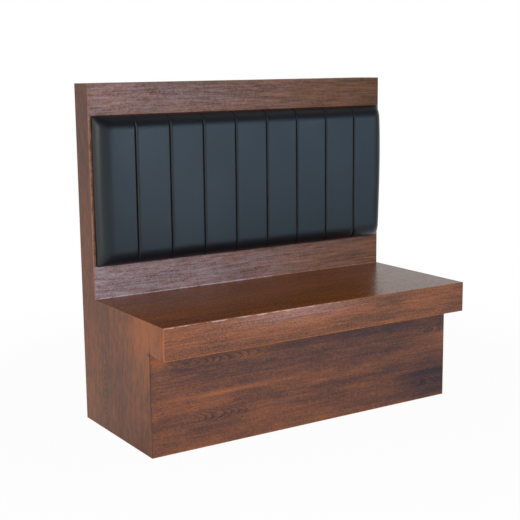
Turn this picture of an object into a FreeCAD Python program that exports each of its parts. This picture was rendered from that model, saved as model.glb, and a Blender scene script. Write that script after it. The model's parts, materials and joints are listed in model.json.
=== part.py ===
import FreeCAD, Part

import os

# A single-sided restaurant booth bench: a timber frame clad in mitred veneered
# boards, with a channel-sewn back pad held between two rails.
# X runs along the width, Y from the front to the rear, Z up.
# The origin is on the floor, in the middle of the footprint. All sizes are in millimetres.

# Overall form
width = 1200.0
height = 1150.0
back_depth = 100.0
seat_depth = 490.0
seat_height = 436.0
apron_height = 104.0
nose_overhang = 96.0
top_rail_height = 104.0
bottom_rail_height = 112.0

# Boards and timbers
board = 12.0
rear_board = 9.0
rib_board = 18.0
timber = 28.0
timber_width = 45.0
arris = 1.2

# Frames that stand between the end panels
frame_spacing = 288.0
frame_places = (-1, 0, 1)

# Back pad
pad_board_thickness = 9.0
pad_gap = 0.5
cover_wall = 1.2
cover_return = 9.0
foam_thickness = 37.0
foam_corner = 30.0
foam_round = 28.0
cover_over_seam = 5.5
channel_rise = 8.5
channel_sag = 0.8
channel_count = 9
seam_flank = 11.0
outer_channel_extra = 7.0
side_roll = 38.0
level_roll = 42.0
pad_lift = 0.4

# Shape of the pad's rounded rim, as shares of its height and of its roll
roll_power = 2.3
level_shares = (0.03, 0.10, 0.25, 0.45, 0.70, 1.00)
side_shares = (0.06, 0.22, 0.50, 1.00)
flank_via_share = 0.30
flank_via_height_share = 0.60

# Fasteners
fastener_clearance = 0.15
screw_diameter = 4.0
screw_head_diameter = 8.0
screw_head_height = 2.6
rear_screw_length = 32.0
rear_screw_margin = 60.0
rear_screw_rows = 4
pad_screw_length = 34.0
pad_screw_inset = 15.0
ledger_screw_length = 50.0
cleat_screw_length = 34.0
cleat_screw_spacing = 150.0
cleat_screw_places = (-1, 0, 1)
bolt_diameter = 8.0
bolt_head_diameter = 18.0
bolt_head_height = 4.5
bolt_low_height = 120.0
bolt_top_margin = 74.0
bolt_spare_thread = 3.0
washer_diameter = 21.0
washer_thickness = 1.6
nut_width = 13.0
nut_height = 6.5
turned_sides = 12
dome_shares = ((1.0, 0.35), (0.72, 0.72), (0.0, 1.0))

# Places that follow from the sizes above
half_width = width / 2
inner_half = half_width - board
rear_y = (seat_depth + back_depth) / 2
nose_y = -rear_y
back_y = rear_y - back_depth
base_y = nose_y + nose_overhang
nose_z = seat_height - apron_height
seat_under = seat_height - board
frame_front = back_y + board
frame_rear = rear_y - rear_board
rib_front = base_y + board
opening_bottom = seat_height + bottom_rail_height
opening_top = height - top_rail_height
pad_middle = (opening_bottom + opening_top) / 2
pad_half_width = inner_half - pad_gap
pad_half_height = (opening_top - opening_bottom) / 2 - pad_gap
pad_board_rear = frame_front - cover_wall
pad_board_front = pad_board_rear - pad_board_thickness
foam_front = pad_board_front - foam_thickness
seam_height = back_y - foam_front + cover_over_seam
crown_height = seam_height + channel_rise
bolt_grip = rib_board + timber
bolt_hole_radius = bolt_diameter / 2 + fastener_clearance
bolt_heights = (bolt_low_height, seat_under - bolt_top_margin)

X = FreeCAD.Vector(1, 0, 0)
Y = FreeCAD.Vector(0, 1, 0)
Z = FreeCAD.Vector(0, 0, 1)


def point(x, y, z):
    return FreeCAD.Vector(x, y, z)


def block(low_x, high_x, low_y, high_y, low_z, high_z):
    """A rectangular piece between two opposite corners."""
    corner = point(low_x, low_y, low_z)
    return Part.makeBox(high_x - low_x, high_y - low_y, high_z - low_z, corner)


def prism(points, run):
    """A flat outline pushed along a vector."""
    return Part.Face(Part.makePolygon(points + points[:1])).extrude(run)


def line(start, end):
    return Part.LineSegment(start, end).toShape()


def arc(start, middle, end):
    return Part.Arc(start, middle, end).toShape()


# Mitres and eased corners

def mitre_wedge(corner, run, side, other):
    """The half of a square corner that a board gives up to its neighbour."""
    return prism([corner, corner + side * board, corner + (side + other) * board], run)


def arris_tool(corner, run, side, other):
    """What a quarter round takes off a square outer corner."""
    start = corner + side * arris
    end = corner + other * arris
    centre = corner + (side + other) * arris
    middle = centre + (corner - centre).normalize() * arris
    edges = [line(corner, start), arc(start, middle, end), line(end, corner)]
    return Part.Face(Part.Wire(edges)).extrude(run)


def crossing_arrises():
    """Eased corners that run the width of the bench."""
    across = X * width
    left = -half_width
    return [
        arris_tool(point(left, back_y, height), across, Y, -Z),
        arris_tool(point(left, rear_y, height), across, -Y, -Z),
        arris_tool(point(left, nose_y, seat_height), across, Y, -Z),
        arris_tool(point(left, nose_y, nose_z), across, Y, Z),
    ]


def rail_arrises():
    """Eased edges of the two rails beside the pad."""
    between = X * (inner_half + inner_half)
    left = -inner_half
    return [
        arris_tool(point(left, back_y, opening_top), between, Y, Z),
        arris_tool(point(left, back_y, opening_bottom), between, Y, -Z),
    ]


def side_arrises(side):
    """Eased corners of one end: side is -1 for the left and 1 for the right."""
    outer = side * half_width
    inner = side * inner_half
    inward = X * -side
    opening = Z * (opening_top - opening_bottom)
    return [
        arris_tool(point(outer, back_y, height), Y * back_depth, inward, -Z),
        arris_tool(point(outer, back_y, seat_height), Z * (height - seat_height), inward, Y),
        arris_tool(point(outer, nose_y, seat_height), Y * seat_depth, inward, -Z),
        arris_tool(point(outer, nose_y, nose_z), Z * apron_height, inward, Y),
        arris_tool(point(outer, nose_y, nose_z), Y * nose_overhang, inward, Z),
        arris_tool(point(outer, base_y, 0), Z * nose_z, inward, Y),
        arris_tool(point(outer, rear_y, 0), Z * height, inward, -Y),
        arris_tool(point(inner, back_y, opening_bottom), opening, -inward, Y),
    ]


arrises = crossing_arrises() + rail_arrises() + side_arrises(-1) + side_arrises(1)


def eased(shape):
    """Round the outer corners that the piece reaches."""
    near = [tool for tool in arrises if tool.BoundBox.intersect(shape.BoundBox)]
    return shape.cut(near)


# Veneered boards

def end_panel(side):
    """One end in one board, from the floor to the top and forward to the nose."""
    outer = side * half_width
    inward = X * -side
    outline = [
        point(outer, rear_y, 0),
        point(outer, base_y, 0),
        point(outer, base_y, nose_z),
        point(outer, nose_y, nose_z),
        point(outer, nose_y, seat_height),
        point(outer, back_y, seat_height),
        point(outer, back_y, height),
        point(outer, rear_y, height),
    ]
    wedges = [
        mitre_wedge(point(outer, base_y, 0), Z * nose_z, inward, Y),
        mitre_wedge(point(outer, nose_y, nose_z), Z * apron_height, inward, Y),
        mitre_wedge(point(outer, nose_y, seat_height), Y * seat_depth, inward, -Z),
        mitre_wedge(point(outer, back_y, seat_height), Z * bottom_rail_height, inward, Y),
        mitre_wedge(point(outer, back_y, opening_top), Z * top_rail_height, inward, Y),
        mitre_wedge(point(outer, back_y, height), Y * back_depth, inward, -Z),
    ]
    panel = eased(prism(outline, inward * board).cut(wedges))
    return drilled(panel, cleat_screw_spots(side), cleat_screw_length)


def front_board(front_y, low_z, high_z, mitred_top):
    """An upright board across the whole front, mitred to both end panels."""
    run = Z * (high_z - low_z)
    wedges = [
        mitre_wedge(point(-half_width, front_y, low_z), run, Y, X),
        mitre_wedge(point(half_width, front_y, low_z), run, Y, -X),
    ]
    if mitred_top:
        wedges.append(mitre_wedge(point(-half_width, front_y, high_z), X * width, Y, -Z))
    shape = block(-half_width, half_width, front_y, front_y + board, low_z, high_z)
    return eased(shape.cut(wedges))


def level_board(front_y, high_z, depth):
    """A flat board across the whole width, mitred at its front and both ends."""
    wedges = [
        mitre_wedge(point(-half_width, front_y, high_z), X * width, -Z, Y),
        mitre_wedge(point(-half_width, front_y, high_z), Y * depth, -Z, X),
        mitre_wedge(point(half_width, front_y, high_z), Y * depth, -Z, -X),
    ]
    shape = block(-half_width, half_width, front_y, front_y + depth, high_z - board, high_z)
    return eased(shape.cut(wedges))


def seat_board():
    """The seat, with a tongue between the end panels that runs under the bottom rail."""
    tongue = block(-inner_half, inner_half, back_y, frame_front, seat_under, seat_height)
    return level_board(nose_y, seat_height, seat_depth).fuse(tongue).removeSplitter()


def nose_soffit():
    """The board that closes the overhang from below, over the base front."""
    return block(-inner_half, inner_half, nose_y + board, rib_front, nose_z, nose_z + board)


def rear_panel():
    """The plywood rear, between the end panels and under the cap."""
    panel = block(-inner_half, inner_half, frame_rear, rear_y, 0, height - board)
    return drilled(panel, rear_screw_spots(), rear_screw_length)


# Fasteners

def ring_of_corners(place, direction, radius):
    """A regular polygon square to a direction, as one closed outline."""
    side = Z.cross(direction) if abs(direction.z) < 1 else X
    turn = FreeCAD.Rotation(direction, 360 / turned_sides)
    corners = []
    for _ in range(turned_sides):
        corners.append(place + side * radius)
        side = turn.multVec(side)
    return Part.makePolygon(corners + corners[:1])


def turned(place, direction, steps):
    """A turned piece from steps of distance and radius, with few flat sides."""
    rings = [ring_of_corners(place + direction * run, direction, radius) for run, radius in steps]
    return Part.makeLoft(rings, True, True)


def screw(spot, length, oversize):
    """A countersunk screw whose head is at the spot and whose point is along its axis."""
    place, direction = spot
    head_radius = screw_head_diameter / 2 + oversize
    radius = screw_diameter / 2 + oversize
    steps = [(0, head_radius), (screw_head_height, radius), (length + oversize, radius)]
    return turned(place, direction, steps)


def screws(spots, length):
    return Part.makeCompound([screw(spot, length, 0) for spot in spots])


def drilled(shape, spots, length):
    """Cut the holes of a set of screws, a little larger than the screws."""
    return shape.cut([screw(spot, length, fastener_clearance) for spot in spots])


def stud_places():
    """The two X faces of each stud, from left to right."""
    beside_rib = rib_board / 2
    inner = [place * frame_spacing + beside_rib for place in frame_places]
    lows = [-inner_half] + inner + [inner_half - timber]
    return [(low, low + timber) for low in lows]


def rear_screw_spots():
    """Rows of screws through the rear panel into the studs."""
    low = rear_screw_margin
    step = (height - board - low - rear_screw_margin) / (rear_screw_rows - 1)
    return [
        (point((left + right) / 2, rear_y, low + row * step), -Y)
        for left, right in stud_places()
        for row in range(rear_screw_rows)
    ]


def noggin_spans():
    """The free lengths between neighbouring studs."""
    places = stud_places()
    return [(left[1], right[0]) for left, right in zip(places, places[1:])]


def pad_screw_spots(edge_z, inward_z):
    """One screw through the middle of each noggin into the pad's board."""
    spot_z = edge_z + inward_z * pad_screw_inset
    rear = frame_front + timber
    return [(point((left + right) / 2, rear, spot_z), -Y) for left, right in noggin_spans()]


def all_pad_screw_spots():
    return pad_screw_spots(opening_bottom, 1) + pad_screw_spots(opening_top, -1)


def ledger_screw_spots():
    """One screw through the seat ledger into each stud."""
    front = frame_front - timber
    middle = seat_under - timber_width / 2
    return [(point((left + right) / 2, front, middle), Y) for left, right in stud_places()]


def cleat_screw_spots(side):
    """Screws through a seat cleat into the end panel."""
    middle_y = (nose_y + back_y) / 2
    inner_face = side * (inner_half - timber)
    height_z = seat_under - timber / 2
    return [
        (point(inner_face, middle_y + place * cleat_screw_spacing, height_z), X * side)
        for place in cleat_screw_places
    ]


def bolt_spots():
    """Where each rib is bolted to the stud beside it."""
    middle_y = (frame_front + frame_rear) / 2
    return [
        point(place * frame_spacing - rib_board / 2, middle_y, bolt_z)
        for place in frame_places
        for bolt_z in bolt_heights
    ]


def bolt_space(spot, low, high, radius):
    """A round length of a bolt hole, measured from the bolt's head along X."""
    return turned(spot, X, [(low, radius), (high, radius)])


def bolt(spot):
    """A dome-headed bolt through a rib and its stud."""
    length = bolt_grip + washer_thickness + nut_height + bolt_spare_thread
    rim = bolt_head_diameter / 2
    steps = [(-bolt_head_height * rise, rim * spread) for rise, spread in dome_shares]
    dome = turned(spot, X, steps)
    return dome.fuse(bolt_space(spot, 0, length, bolt_diameter / 2)).removeSplitter()


def bolt_holes(shape):
    """Clearance holes for the frame bolts."""
    return shape.cut([bolt_space(spot, 0, bolt_grip, bolt_hole_radius) for spot in bolt_spots()])


def washer(spot):
    """A plain washer between a stud and its nut."""
    end = bolt_grip + washer_thickness
    disc = bolt_space(spot, bolt_grip, end, washer_diameter / 2)
    return disc.cut(bolt_space(spot, bolt_grip, end, bolt_hole_radius))


def nut(spot):
    """A hexagon nut on a frame bolt."""
    start = bolt_grip + washer_thickness
    end = start + nut_height
    turn = FreeCAD.Rotation(X, 60)
    corner = Z * (nut_width / 3 ** 0.5)
    corners = []
    for _ in range(6):
        corners.append(spot + X * start + corner)
        corner = turn.multVec(corner)
    body = prism(corners, X * nut_height)
    return body.cut(bolt_space(spot, start, end, bolt_hole_radius))


def group(maker, spots):
    return Part.makeCompound([maker(spot) for spot in spots])


# Timber frame

def stud(faces):
    """An upright of the back, from the sole plate to the top plate."""
    left, right = faces
    top = height - board - timber
    shape = block(left, right, frame_front, frame_rear, timber, top)
    shape = drilled(shape, rear_screw_spots(), rear_screw_length)
    shape = drilled(shape, ledger_screw_spots(), ledger_screw_length)
    return bolt_holes(shape)


def back_plate(low_z):
    """A flat timber that ties the studs at their foot or head."""
    shape = block(-inner_half, inner_half, frame_front, frame_rear, low_z, low_z + timber)
    return drilled(shape, rear_screw_spots(), rear_screw_length)


def noggin(span, edge_z):
    """A short timber between two studs, behind the joint of a rail and the pad."""
    left, right = span
    half = timber_width / 2
    shape = block(left, right, frame_front, frame_front + timber, edge_z - half, edge_z + half)
    return drilled(shape, all_pad_screw_spots(), pad_screw_length)


def rib(place):
    """A plywood rib under the seat that follows the base and the nose."""
    low_x = place * frame_spacing - rib_board / 2
    ledger_front = frame_front - timber
    nose_back = nose_y + board
    outline = [
        point(low_x, frame_front, 0),
        point(low_x, rib_front + timber, 0),
        point(low_x, rib_front + timber, timber_width),
        point(low_x, rib_front, timber_width),
        point(low_x, rib_front, nose_z + board),
        point(low_x, nose_back, nose_z + board),
        point(low_x, nose_back, seat_under - timber_width),
        point(low_x, nose_back + timber, seat_under - timber_width),
        point(low_x, nose_back + timber, seat_under),
        point(low_x, ledger_front, seat_under),
        point(low_x, ledger_front, seat_under - timber_width),
        point(low_x, frame_front, seat_under - timber_width),
        point(low_x, frame_front, seat_under),
        point(low_x, frame_rear, seat_under),
        point(low_x, frame_rear, timber),
        point(low_x, frame_front, timber),
    ]
    return bolt_holes(prism(outline, X * rib_board))


def cross_timber(front_y, low_z):
    """A timber on edge across the inside, between the end panels."""
    return block(-inner_half, inner_half, front_y, front_y + timber, low_z, low_z + timber_width)


def seat_ledger():
    """The timber on the studs that carries the rear of the seat."""
    shape = cross_timber(frame_front - timber, seat_under - timber_width)
    return drilled(shape, ledger_screw_spots(), ledger_screw_length)


def seat_cleat(side):
    """The timber inside an end panel that carries the end of the seat."""
    outer = side * inner_half
    inner = side * (inner_half - timber)
    front = nose_y + board + timber
    rear = frame_front - timber
    shape = block(min(outer, inner), max(outer, inner), front, rear, seat_under - timber, seat_under)
    return drilled(shape, cleat_screw_spots(side), cleat_screw_length)


def corner_post(side):
    """The glue block in the corner of the base front and an end panel."""
    outer = side * inner_half
    inner = side * (inner_half - timber)
    rear = rib_front + timber
    return block(min(outer, inner), max(outer, inner), rib_front, rear, timber_width, nose_z)


# Back pad

def pad_board():
    """The plywood that the foam is glued to and the cover is fixed to."""
    half_x = pad_half_width - cover_wall
    half_z = pad_half_height - cover_wall
    shape = block(-half_x, half_x, pad_board_front, pad_board_rear,
                  pad_middle - half_z, pad_middle + half_z)
    return drilled(shape, all_pad_screw_spots(), pad_screw_length)


def pad_foam():
    """The foam slab, with rounded corners and a rounded front rim."""
    half_x = pad_half_width - cover_wall
    half_z = pad_half_height - cover_wall
    slab = block(-half_x, half_x, foam_front, pad_board_front,
                 pad_middle - half_z, pad_middle + half_z)
    corners = [edge for edge in slab.Edges if edge.BoundBox.YLength > foam_thickness / 2]
    slab = slab.makeFillet(foam_corner, corners)
    front = min(slab.Faces, key=lambda face: face.CenterOfMass.y)
    return slab.makeFillet(foam_round, front.Edges)


def seam_places():
    """The X place of each sewn seam, from left to right."""
    pitch = (pad_half_width - outer_channel_extra) * 2 / channel_count
    seam_count = channel_count - 1
    middle = (seam_count - 1) / 2
    return [(number - middle) * pitch for number in range(seam_count)]


def rim_rise(share):
    """The share of the pad's height at a share of its rounded rim."""
    return (1 - (1 - share) ** roll_power) ** (1 / roll_power)


def side_curves(at, side, crown):
    """The rounded side of the pad as two arcs of three points, from the wood to its crown."""
    base = at(side * pad_half_width, pad_lift)
    low, shoulder, high, top = [
        at(side * (pad_half_width - side_roll * share), crown * rim_rise(share))
        for share in side_shares
    ]
    return [(base, low, shoulder), (shoulder, high, top)]


def pad_section(z, rise):
    """The closed outline of the pad at one height, its crown scaled by rise."""
    def at(x, proud):
        return point(x, back_y - proud, z)

    crown = crown_height * rise
    seam = seam_height * rise
    edge = crown - channel_sag * rise
    via = seam + (edge - seam) * flank_via_height_share
    via_x = seam_flank * flank_via_share
    right = side_curves(at, 1, crown)
    left = [curve[::-1] for curve in reversed(side_curves(at, -1, crown))]
    curves = list(right)
    start = right[-1][-1]
    for seam_x in reversed(seam_places()):
        high = at(seam_x + seam_flank, edge)
        low = at(seam_x, seam)
        next_high = at(seam_x - seam_flank, edge)
        curves.append((start, at((start.x + high.x) / 2, crown), high))
        curves.append((high, at(seam_x + via_x, via), low))
        curves.append((low, at(seam_x - via_x, via), next_high))
        start = next_high
    shoulder = left[0][0]
    curves.append((start, at((start.x + shoulder.x) / 2, crown), shoulder))
    edges = [arc(*curve) for curve in curves + left]
    rear_right = at(pad_half_width, back_y - frame_front)
    rear_left = at(-pad_half_width, back_y - frame_front)
    edges.append(line(left[-1][-1], rear_left))
    edges.append(line(rear_left, rear_right))
    edges.append(line(rear_right, right[0][0]))
    return Part.Wire(edges)


def pad_form():
    """The whole outer form of the pad: nine channels with a rounded rim."""
    first = level_shares[0]
    steps = [((share - first) * level_roll, rim_rise(share)) for share in level_shares]
    low = [(pad_middle - pad_half_height + run, rise) for run, rise in steps]
    high = [(pad_middle + pad_half_height - run, rise) for run, rise in steps]
    sections = [pad_section(z, rise) for z, rise in low + high[::-1]]
    return Part.makeLoft(sections, True, True)


def pad_cover():
    """The channel-sewn cover, wrapped over the foam and turned behind the board."""
    half_x = pad_half_width - cover_return
    half_z = pad_half_height - cover_return
    window = block(-half_x, half_x, pad_board_rear, frame_front,
                   pad_middle - half_z, pad_middle + half_z)
    half_x = pad_half_width - cover_wall
    half_z = pad_half_height - cover_wall
    board_space = block(-half_x, half_x, pad_board_front, pad_board_rear,
                        pad_middle - half_z, pad_middle + half_z)
    return pad_form().cut([pad_foam(), board_space, window])


# The whole bench

def pieces():
    """Each piece under the name of its node."""
    made = {
        "left_end_panel": end_panel(-1),
        "right_end_panel": end_panel(1),
        "top_rail": front_board(back_y, opening_top, height, True),
        "bottom_rail": front_board(back_y, seat_height, opening_bottom, False),
        "top_cap": level_board(back_y, height, back_depth),
        "seat_board": seat_board(),
        "seat_apron": front_board(nose_y, nose_z, seat_height, True),
        "nose_soffit": nose_soffit(),
        "base_front_panel": front_board(base_y, 0, nose_z, False),
        "rear_panel": rear_panel(),
        "pad_board": pad_board(),
        "pad_foam": pad_foam(),
        "pad_cover": pad_cover(),
        "back_sole_plate": back_plate(0),
        "back_top_plate": back_plate(height - board - timber),
        "base_front_batten": cross_timber(rib_front, 0),
        "nose_batten": cross_timber(nose_y + board, seat_under - timber_width),
        "seat_ledger": seat_ledger(),
        "left_seat_cleat": seat_cleat(-1),
        "right_seat_cleat": seat_cleat(1),
        "left_corner_post": corner_post(-1),
        "right_corner_post": corner_post(1),
    }
    for number, faces in enumerate(stud_places(), 1):
        made[f"back_stud_{number}"] = stud(faces)
    for number, place in enumerate(frame_places, 1):
        made[f"seat_rib_{number}"] = rib(place)
    for number, span in enumerate(noggin_spans(), 1):
        made[f"lower_noggin_{number}"] = noggin(span, opening_bottom)
        made[f"upper_noggin_{number}"] = noggin(span, opening_top)
    made["rear_panel_screws"] = screws(rear_screw_spots(), rear_screw_length)
    made["pad_screws"] = screws(all_pad_screw_spots(), pad_screw_length)
    made["seat_ledger_screws"] = screws(ledger_screw_spots(), ledger_screw_length)
    made["seat_cleat_screws"] = screws(cleat_screw_spots(-1) + cleat_screw_spots(1),
                                       cleat_screw_length)
    made["frame_bolts"] = group(bolt, bolt_spots())
    made["frame_washers"] = group(washer, bolt_spots())
    made["frame_nuts"] = group(nut, bolt_spots())
    return made


os.makedirs("parts", exist_ok=True)
for name, shape in pieces().items():
    solids = len(shape.Solids)
    print(name, "solids", solids, "valid", shape.isValid(), "volume", round(shape.Volume))
    shape.exportStep(f"parts/{name}.step")
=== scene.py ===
"""Looks of a single-sided booth bench: stained veneer, a channel-sewn back pad and its hardware."""

import json
import logging
import math
from dataclasses import dataclass
from enum import Enum

import bmesh
import bpy
from mathutils import Matrix, Vector, noise
from mathutils.bvhtree import BVHTree

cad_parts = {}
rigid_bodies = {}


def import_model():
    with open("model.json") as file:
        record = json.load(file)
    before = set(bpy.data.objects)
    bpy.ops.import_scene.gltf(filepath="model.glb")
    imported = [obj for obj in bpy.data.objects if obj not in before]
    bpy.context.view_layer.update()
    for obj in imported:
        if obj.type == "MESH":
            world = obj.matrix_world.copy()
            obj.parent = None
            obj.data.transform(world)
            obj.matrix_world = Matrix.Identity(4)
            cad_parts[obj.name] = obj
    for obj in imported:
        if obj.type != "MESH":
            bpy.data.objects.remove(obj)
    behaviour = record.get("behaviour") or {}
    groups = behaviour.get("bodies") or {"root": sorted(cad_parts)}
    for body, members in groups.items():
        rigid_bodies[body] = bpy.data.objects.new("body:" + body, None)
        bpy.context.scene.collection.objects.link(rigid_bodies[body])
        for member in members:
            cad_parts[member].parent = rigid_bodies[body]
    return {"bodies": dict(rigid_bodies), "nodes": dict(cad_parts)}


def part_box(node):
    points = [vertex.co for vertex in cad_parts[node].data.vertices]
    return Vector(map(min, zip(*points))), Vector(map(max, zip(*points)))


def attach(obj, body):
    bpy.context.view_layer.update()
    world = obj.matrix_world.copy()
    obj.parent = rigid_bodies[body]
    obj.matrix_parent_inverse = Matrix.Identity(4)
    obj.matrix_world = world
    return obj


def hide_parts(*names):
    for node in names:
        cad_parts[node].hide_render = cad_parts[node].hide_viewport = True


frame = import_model()

Colour = tuple[float, float, float]
log = logging.getLogger("booth_bench")
MM = 0.001
BODY = next(iter(frame["bodies"]))
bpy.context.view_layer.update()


# Shader maths

class Signal:
    """A shader value that Python's operators join to others through Math nodes."""

    def __init__(self, shader: "Shader", socket: bpy.types.NodeSocket) -> None:
        """Keep the shader that owns the socket, and the socket."""
        self.shader = shader
        self.socket = socket

    def _math(self, operation: str, *values: "Signal | float") -> "Signal":
        """Join values through one Math node.

        Args:
            operation: The Math node's operation.
            values: The operands, in their order.

        Returns:
            The node's result.
        """
        inputs = dict(enumerate(values))
        return self.shader.node("ShaderNodeMath", {"operation": operation}, inputs)

    def __add__(self, other: "Signal | float") -> "Signal":
        """Sum."""
        return self._math("ADD", self, other)

    def __radd__(self, other: float) -> "Signal":
        """Sum with a number on the left."""
        return self._math("ADD", other, self)

    def __sub__(self, other: "Signal | float") -> "Signal":
        """Difference."""
        return self._math("SUBTRACT", self, other)

    def __rsub__(self, other: float) -> "Signal":
        """Difference from a number."""
        return self._math("SUBTRACT", other, self)

    def __mul__(self, other: "Signal | float") -> "Signal":
        """Product."""
        return self._math("MULTIPLY", self, other)

    def __rmul__(self, other: float) -> "Signal":
        """Product with a number on the left."""
        return self._math("MULTIPLY", other, self)

    def __truediv__(self, other: "Signal | float") -> "Signal":
        """Quotient."""
        return self._math("DIVIDE", self, other)

    def __pow__(self, other: float) -> "Signal":
        """Power."""
        return self._math("POWER", self, other)

    def lowest(self, other: "Signal | float") -> "Signal":
        """The smaller of two values."""
        return self._math("MINIMUM", self, other)

    def highest(self, other: "Signal | float") -> "Signal":
        """The larger of two values."""
        return self._math("MAXIMUM", self, other)

    def fraction(self) -> "Signal":
        """What is left above the whole number."""
        return self._math("FRACT", self)

    def absolute(self) -> "Signal":
        """The value without its sign."""
        return self._math("ABSOLUTE", self)

    def exponent(self) -> "Signal":
        """The exponential."""
        return self._math("EXPONENT", self)

    def step(self, low: float, high: float) -> "Signal":
        """Rise smoothly from 0 to 1.

        Args:
            low: Where the result leaves 0. It may be above high, for a fall.
            high: Where the result reaches 1.

        Returns:
            A value from 0 to 1.
        """
        settings = {"interpolation_type": "SMOOTHSTEP"}
        inputs = {"Value": self, "From Min": low, "From Max": high}
        return self.shader.node("ShaderNodeMapRange", settings, inputs)


class Shader:
    """One node tree, written as expressions."""

    def __init__(self, tree: bpy.types.NodeTree) -> None:
        """Empty the tree and keep it."""
        self.tree = tree
        tree.nodes.clear()

    @classmethod
    def of_material(cls, name: str) -> "tuple[Shader, bpy.types.Material]":
        """A new material and the shader that writes its nodes."""
        material = bpy.data.materials.new(name)
        material.use_nodes = True
        return cls(material.node_tree), material

    def node(self, kind: str, settings: dict | None = None, inputs: dict | None = None,
             output: int | str = 0) -> Signal:
        """Add one node.

        Args:
            kind: The node's type.
            settings: Properties that are set first; stops are a ramp's places and colours.
            inputs: Values or signals by socket name or number.
            output: Which of the node's outputs to give back.

        Returns:
            The chosen output.
        """
        made = self.tree.nodes.new(kind)
        for key, value in (settings or {}).items():
            if key == "stops":
                self._set_stops(made.color_ramp, value)
            else:
                setattr(made, key, value)
        for key, value in (inputs or {}).items():
            if isinstance(value, Signal):
                self.tree.links.new(value.socket, made.inputs[key])
            else:
                made.inputs[key].default_value = value
        return Signal(self, made.outputs[output])

    @staticmethod
    def _set_stops(ramp: bpy.types.ColorRamp, stops: tuple[tuple[float, Colour], ...]) -> None:
        """Give a ramp its places and colours."""
        while len(ramp.elements) < len(stops):
            ramp.elements.new(1.0)
        for element, (place, colour) in zip(ramp.elements, stops):
            element.position = place
            element.color = (*colour, 1.0)

    def place(self) -> Signal:
        """The point on the piece, in metres."""
        return self.node("ShaderNodeTexCoord", output="Object")

    def split(self, vector: Signal) -> tuple[Signal, Signal, Signal]:
        """The three parts of a vector."""
        made = self.tree.nodes.new("ShaderNodeSeparateXYZ")
        self.tree.links.new(vector.socket, made.inputs[0])
        return tuple(Signal(self, socket) for socket in made.outputs)

    def join(self, x: Signal | float, y: Signal | float, z: Signal | float) -> Signal:
        """A vector from its three parts."""
        return self.node("ShaderNodeCombineXYZ", None, {0: x, 1: y, 2: z})

    def noise(self, vector: Signal, scale: tuple[float, float, float], seed: float,
              detail: float = 2.0, roughness: float = 0.5) -> Signal:
        """Smooth noise about zero, stretched as the scale says.

        Args:
            vector: The point, in metres.
            scale: Waves per metre along each axis.
            seed: How far the pattern is moved, which makes it another one.
            detail: How many finer octaves are added.
            roughness: How strong the finer octaves are.

        Returns:
            A value of about -0.5 to 0.5.
        """
        shift = (seed, seed * 1.7, seed * 2.3)
        moved = self.node("ShaderNodeMapping", None,
                          {"Vector": vector, "Location": shift, "Scale": scale})
        inputs = {"Vector": moved, "Scale": 1.0, "Detail": detail, "Roughness": roughness}
        return self.node("ShaderNodeTexNoise", None, inputs) - 0.5

    def ramp(self, value: Signal, stops: tuple[tuple[float, Colour], ...]) -> Signal:
        """Colour a value."""
        return self.node("ShaderNodeValToRGB", {"stops": stops}, {0: value})

    def mix(self, share: Signal | float, start: Signal | Colour, end: Signal | Colour) -> Signal:
        """Blend two colours by a share from 0 to 1."""
        inputs = {0: share, 6: self._colour(start), 7: self._colour(end)}
        return self.node("ShaderNodeMix", {"data_type": "RGBA"}, inputs, 2)

    def tint(self, colour: Signal | Colour, factor: Signal) -> Signal:
        """Make a colour lighter or darker by a number that may be above 1."""
        settings = {"operation": "SCALE"}
        return self.node("ShaderNodeVectorMath", settings, {"Vector": colour, "Scale": factor})

    @staticmethod
    def _colour(value: Signal | Colour) -> Signal | tuple[float, float, float, float]:
        """A colour as a colour socket takes it."""
        return value if isinstance(value, Signal) else (*value, 1.0)

    def bump(self, height: Signal, distance: float, strength: float = 1.0) -> Signal:
        """Turn a height into a surface direction.

        Args:
            height: The relief, from 0 to about 1.
            distance: How many metres the relief's 1 stands for.
            strength: How much of the relief is used.

        Returns:
            The normal for a surface shader.
        """
        inputs = {"Height": height, "Distance": distance, "Strength": strength}
        return self.node("ShaderNodeBump", None, inputs)

    def surface(self, inputs: dict) -> None:
        """Finish the tree with a Principled surface."""
        coloured = {key: self._colour(value) if key == "Base Color" else value
                    for key, value in inputs.items()}
        body = self.node("ShaderNodeBsdfPrincipled", None, coloured)
        self.node_output("ShaderNodeOutputMaterial", body)

    def node_output(self, kind: str, shown: Signal) -> None:
        """Join the last shader to an output node."""
        end = self.tree.nodes.new(kind)
        self.tree.links.new(shown.socket, end.inputs["Surface"])


# Finishes

class Grain(Enum):
    """The axes of a board: along its grain, across its shown face, and through it."""

    LEVEL_FRONT = (0, 2, 1)
    LEVEL_TOP = (0, 1, 2)
    UPRIGHT_END = (2, 1, 0)
    UPRIGHT_FRONT = (2, 0, 1)
    FORWARD = (1, 0, 2)


@dataclass(frozen=True)
class Face:
    """A rectangle of a board's face, in metres: along the grain, then across it."""

    along: tuple[float, float]
    across: tuple[float, float]


@dataclass(frozen=True)
class Spot:
    """A soft oval place on a board where it differs from the rest, in metres."""

    along: float
    across: float
    length: float
    width: float
    rings: float = 0.0
    arch: float = 0.0
    warmth: float = 0.0
    # How much painted sheen the spot mixes into the colour, as a highlight
    painted_sheen: float = 0.0


class Way(Enum):
    """One of a board's own axes."""

    ALONG = 0
    ACROSS = 1
    DEEP = 2


@dataclass(frozen=True)
class Arris:
    """A line on a board, where one of its axes has one value: rubbed wear, a dark line, a painted
    highlight or painted shade.
    """

    way: Way
    place: float
    width: float
    colour: Colour
    strength: float = 0.8
    span: tuple[float, float] = (-5.0, 5.0)
    broken: float = 0.0


@dataclass(frozen=True)
class Stain:
    """The tones that a stained veneer moves between, and the colour of its painted sheen, as linear
    colours.
    """

    shade: Colour
    body: Colour
    warm: Colour
    glow: Colour
    rubbed: Colour
    # The colour of the painted sheen, a lavender-grey highlight
    painted_sheen: Colour = (0.36, 0.27, 0.285)


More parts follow.
